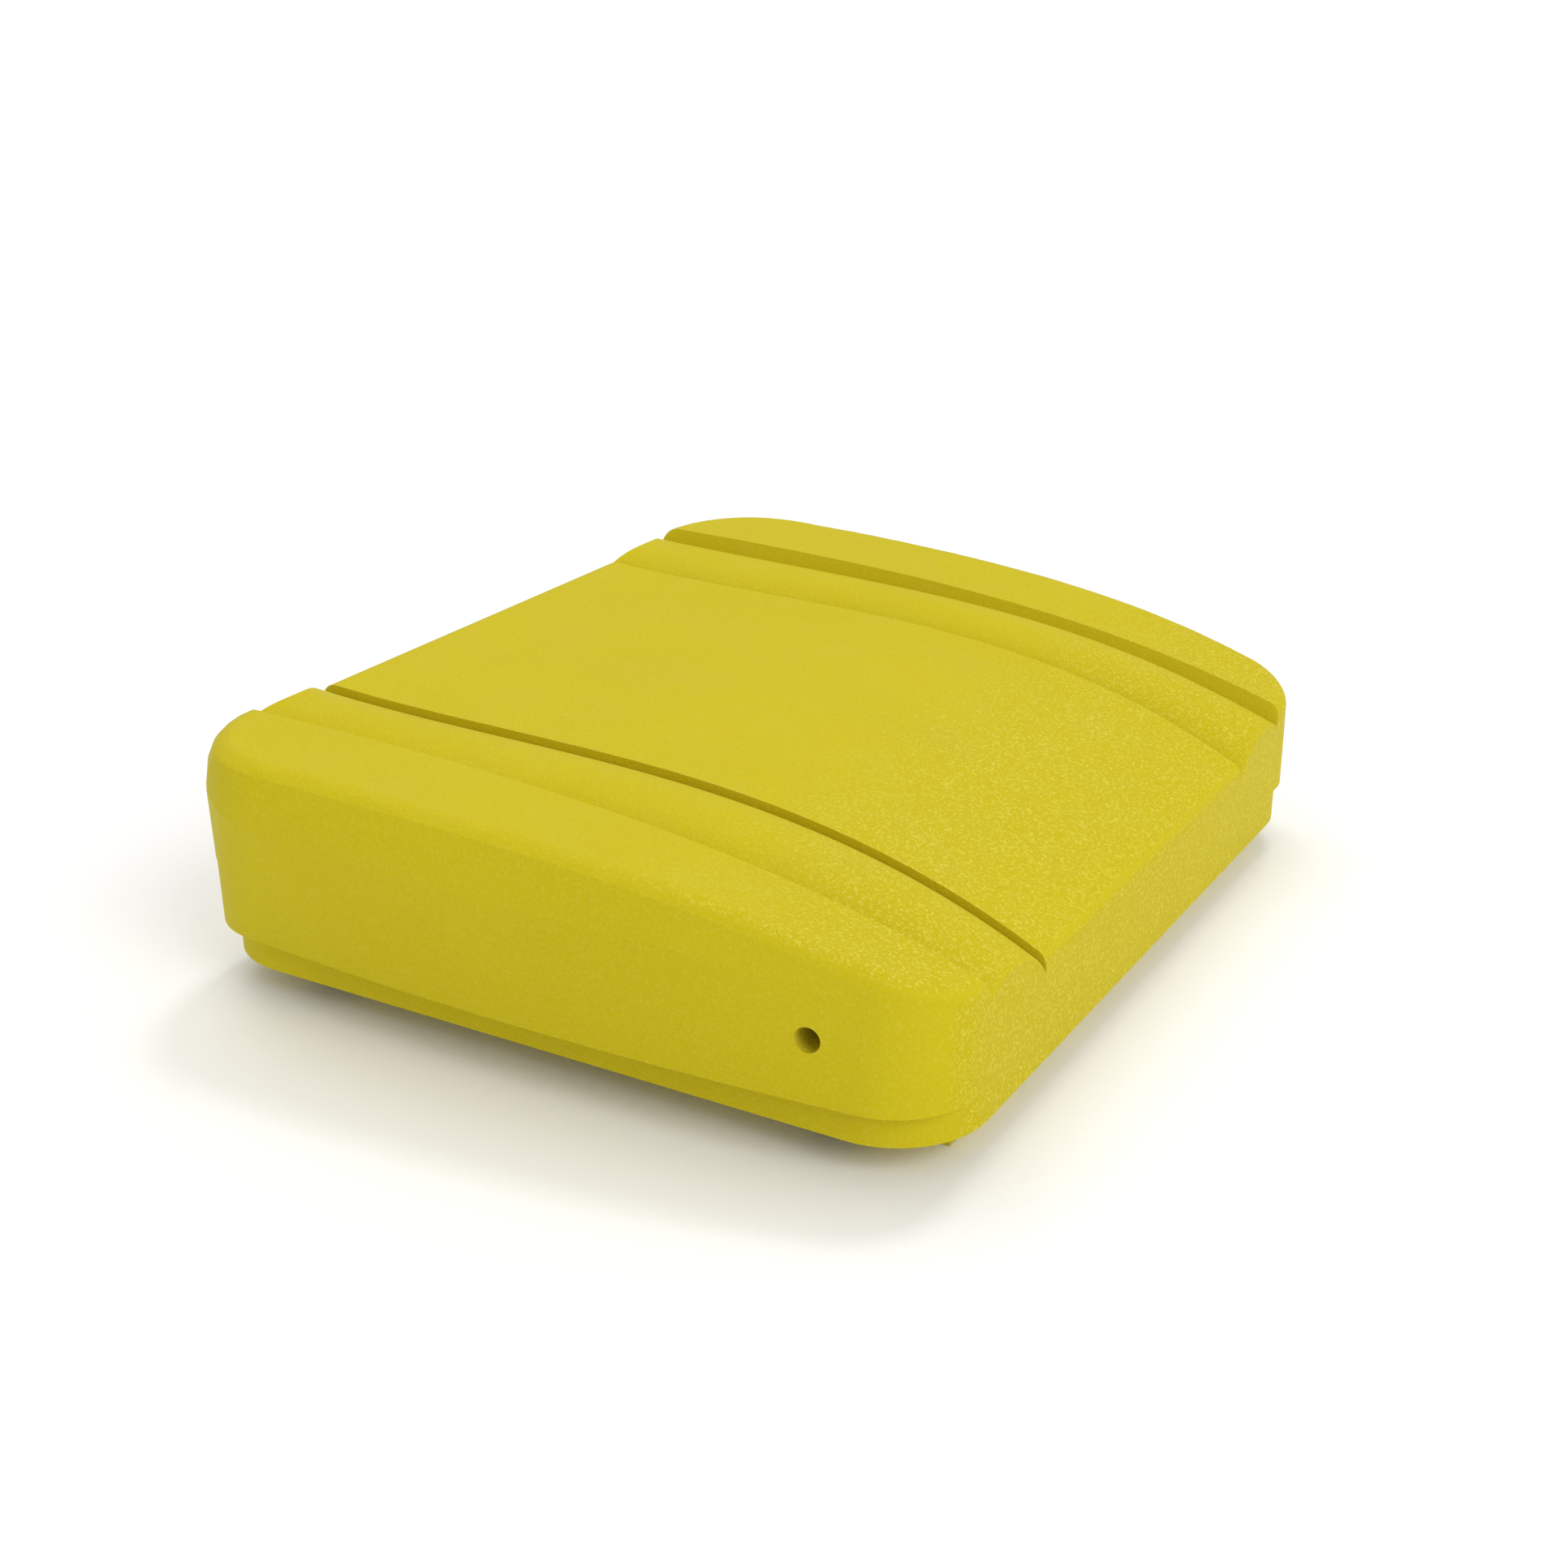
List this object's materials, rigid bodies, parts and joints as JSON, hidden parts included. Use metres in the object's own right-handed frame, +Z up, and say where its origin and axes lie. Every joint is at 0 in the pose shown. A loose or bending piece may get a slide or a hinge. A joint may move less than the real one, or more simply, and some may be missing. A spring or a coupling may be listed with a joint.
{
  "type": "pedal boat seat",
  "caption": "Tip-forward moulded seat of a pedal boat: dished yellow block with raised side bands, beads, stepped plinth and sliding hinge pins.",
  "frame": {"origin": "on the underside of the locating frame, below the middle of the seat's overall length and width", "axes": "+Z up; +X towards the low front edge over the footwell; +Y towards the sitter's left"},
  "size_m": [0.408, 0.5116, 0.1329],
  "materials": {
    "shell": "fine-grained rotomoulded polyethylene, yellow",
    "panel": "plain yellow polyethylene sheet",
    "foam": "closed-cell foam, off-white",
    "frame": "sawn yellow polyethylene bar",
    "guide": "machined black acetal",
    "pin": "drawn stainless steel",
    "knob": "moulded black nylon",
    "ring": "nitrile rubber",
    "buffer": "moulded black rubber",
    "insert": "turned and knurled",
    "screw": "stainless, countersunk",
    "plug": "moulded black nylon",
    "washer": "flat rubber washer"
  },
  "bodies": {
    "seat": {"seat_shell": "shell", "base_panel": "panel", "foam_core": "foam", "frame_bar_front": "frame", "frame_bar_rear": "frame", "frame_bar_left": "frame", "frame_bar_right": "frame", "pin_guide_left": "guide", "pin_guide_right": "guide", "pin_ring_left": "ring", "pin_ring_right": "ring", "rest_buffer_front_left": "buffer", "rest_buffer_front_right": "buffer", "rest_buffer_rear_left": "buffer", "rest_buffer_rear_right": "buffer", "base_inserts": "insert", "base_screws": "screw", "guide_screws": "screw", "frame_screws": "screw", "vent_plug": "plug", "vent_washer": "washer"},
    "pin_left": {"hinge_pin_left": "pin", "pin_knob_left": "knob"},
    "pin_right": {"hinge_pin_right": "pin", "pin_knob_right": "knob"}
  },
  "joints": [
    {"name": "pin_slide_left", "type": "slide", "parent": "seat", "child": "pin_left", "axis": [0, 1, 0], "range_m": [0, 0.042]},
    {"name": "pin_slide_right", "type": "slide", "parent": "seat", "child": "pin_right", "axis": [0, -1, 0], "range_m": [0, 0.042]}
  ]
}
